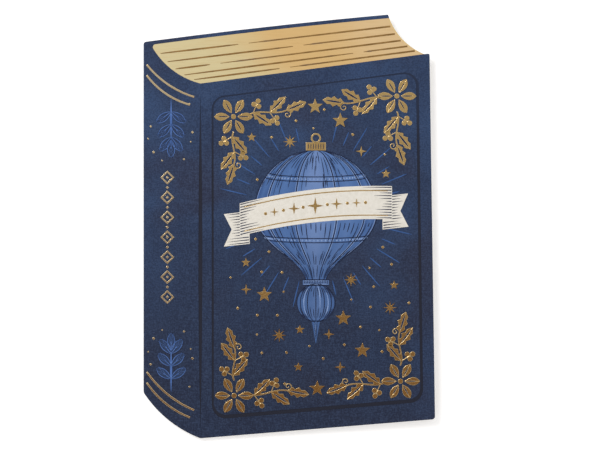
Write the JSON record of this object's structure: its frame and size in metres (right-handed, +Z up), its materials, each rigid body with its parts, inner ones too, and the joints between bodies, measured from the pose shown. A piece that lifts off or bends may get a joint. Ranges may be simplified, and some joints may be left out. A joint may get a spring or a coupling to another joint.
{
  "type": "greeting card",
  "caption": "Folded greeting card, die-cut to the outline of a standing book, with pressed grooves and raised foil ornament on its front leaf.",
  "frame": {"origin": "centre of the outline on the underside of the back leaf, on the surface that the card lies on", "axes": "+X from the fold to the free edge, +Y towards the card's head, +Z up out of the front leaf"},
  "size_m": [0.117, 0.17, 0.0035],
  "materials": {
    "card_board": "matte navy print on board, cloth-like mottling",
    "gold_foil": "hot-stamped foil, satin, embossed",
    "page_print": "matte pale gold print",
    "cream_print": "matte cream print",
    "blue_print": "matte blue print with navy line shading"
  },
  "bodies": {
    "root": {"folded_card": "card_board"}
  },
  "joints": []
}
